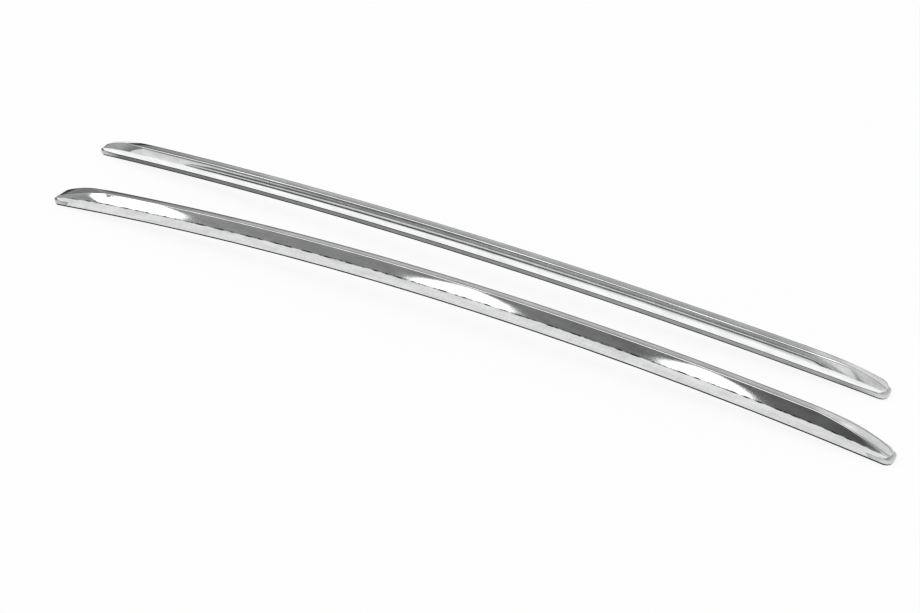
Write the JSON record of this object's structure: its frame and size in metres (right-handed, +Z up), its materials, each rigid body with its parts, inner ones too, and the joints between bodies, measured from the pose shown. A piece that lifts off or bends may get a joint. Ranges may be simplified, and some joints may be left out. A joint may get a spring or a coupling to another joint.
{
  "type": "roof side rail pair",
  "caption": "Mirrored pair of slim polished roof side rails, arched and bowed to a car roof, with hidden threaded plates in a channel underneath.",
  "frame": {"origin": "bottom centre of the pair's bounding box, on the surface that the tips rest on", "axes": "+X along the rails toward their front end, +Y from the right-hand rail to the left-hand one, +Z up"},
  "size_m": [1.8088, 0.2554, 0.0787],
  "materials": {
    "polished_metal": "mirror polish",
    "seal_rubber": "matte",
    "plate_steel": "zinc plated",
    "pad_rubber": "matte"
  },
  "bodies": {
    "root": {"right_rail_bar": "polished_metal", "right_base_seal": "seal_rubber", "right_mount_plate_1": "plate_steel", "right_mount_plate_2": "plate_steel", "right_mount_plate_3": "plate_steel", "right_mount_plate_4": "plate_steel", "right_mount_plate_5": "plate_steel", "right_seal_pad_1": "pad_rubber", "right_seal_pad_2": "pad_rubber", "right_seal_pad_3": "pad_rubber", "right_seal_pad_4": "pad_rubber", "right_seal_pad_5": "pad_rubber", "left_rail_bar": "polished_metal", "left_base_seal": "seal_rubber", "left_mount_plate_1": "plate_steel", "left_mount_plate_2": "plate_steel", "left_mount_plate_3": "plate_steel", "left_mount_plate_4": "plate_steel", "left_mount_plate_5": "plate_steel", "left_seal_pad_1": "pad_rubber", "left_seal_pad_2": "pad_rubber", "left_seal_pad_3": "pad_rubber", "left_seal_pad_4": "pad_rubber", "left_seal_pad_5": "pad_rubber"}
  },
  "joints": []
}
